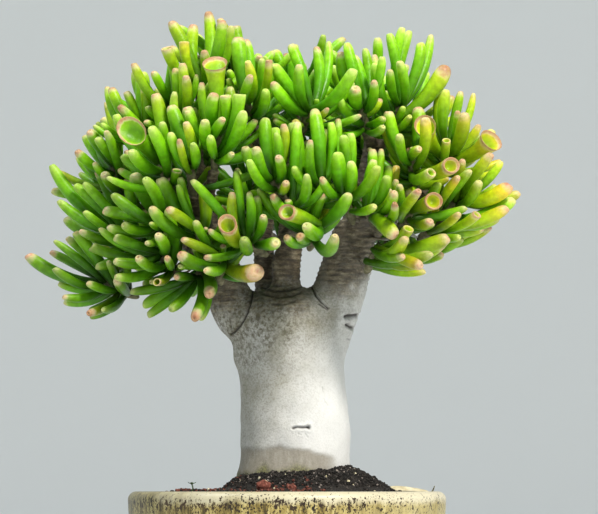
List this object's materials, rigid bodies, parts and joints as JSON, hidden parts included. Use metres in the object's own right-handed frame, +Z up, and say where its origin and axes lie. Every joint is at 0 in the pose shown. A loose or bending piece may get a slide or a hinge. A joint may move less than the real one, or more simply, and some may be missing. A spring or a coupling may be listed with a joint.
{
  "type": "potted finger jade succulent",
  "caption": "Thick-trunked finger jade bonsai with tube-shaped, red-rimmed green leaves, in a round speckled stoneware pot of dark soil",
  "frame": {"origin": "the centre of the flat foot under the pot, on the surface that the pot stands on", "axes": "+Z up; -Y towards the front of the plant; +X to the right as seen from the front"},
  "size_m": [0.2708, 0.2097, 0.3236],
  "materials": {
    "speckled_glaze": "satin",
    "soil": "matte",
    "pale_stone": "matte",
    "lava_stone": "matte",
    "bark": "matte",
    "leaf": "satin"
  },
  "bodies": {
    "root": {"pot": "speckled_glaze", "soil": "soil", "pale_stone": "pale_stone", "lava_stone_1": "lava_stone", "lava_stone_2": "lava_stone", "trunk": "bark", "leaf_head_01": "leaf", "leaf_head_02": "leaf", "leaf_head_03": "leaf", "leaf_head_04": "leaf", "leaf_head_05": "leaf", "leaf_head_06": "leaf", "leaf_head_07": "leaf", "leaf_head_08": "leaf", "leaf_head_09": "leaf", "leaf_head_10": "leaf", "leaf_head_11": "leaf", "leaf_head_12": "leaf", "leaf_head_13": "leaf", "leaf_head_14": "leaf", "leaf_head_15": "leaf", "leaf_head_16": "leaf", "leaf_head_17": "leaf", "leaf_head_18": "leaf", "leaf_head_19": "leaf", "leaf_head_20": "leaf", "leaf_head_21": "leaf", "leaf_head_22": "leaf", "leaf_head_23": "leaf", "leaf_head_24": "leaf", "leaf_head_25": "leaf", "leaf_head_26": "leaf", "leaf_head_27": "leaf", "leaf_head_28": "leaf", "leaf_head_29": "leaf", "leaf_head_30": "leaf", "leaf_head_31": "leaf", "leaf_head_32": "leaf", "leaf_head_33": "leaf", "leaf_head_34": "leaf", "leaf_head_35": "leaf", "leaf_head_36": "leaf", "leaf_head_37": "leaf", "leaf_head_38": "leaf", "leaf_head_39": "leaf", "leaf_head_40": "leaf", "leaf_head_41": "leaf", "leaf_head_42": "leaf", "leaf_head_43": "leaf", "leaf_head_44": "leaf", "leaf_head_45": "leaf", "leaf_head_46": "leaf", "leaf_head_47": "leaf", "leaf_head_48": "leaf", "leaf_head_49": "leaf", "leaf_head_50": "leaf", "leaf_head_51": "leaf", "leaf_head_52": "leaf", "leaf_head_53": "leaf"}
  },
  "joints": []
}
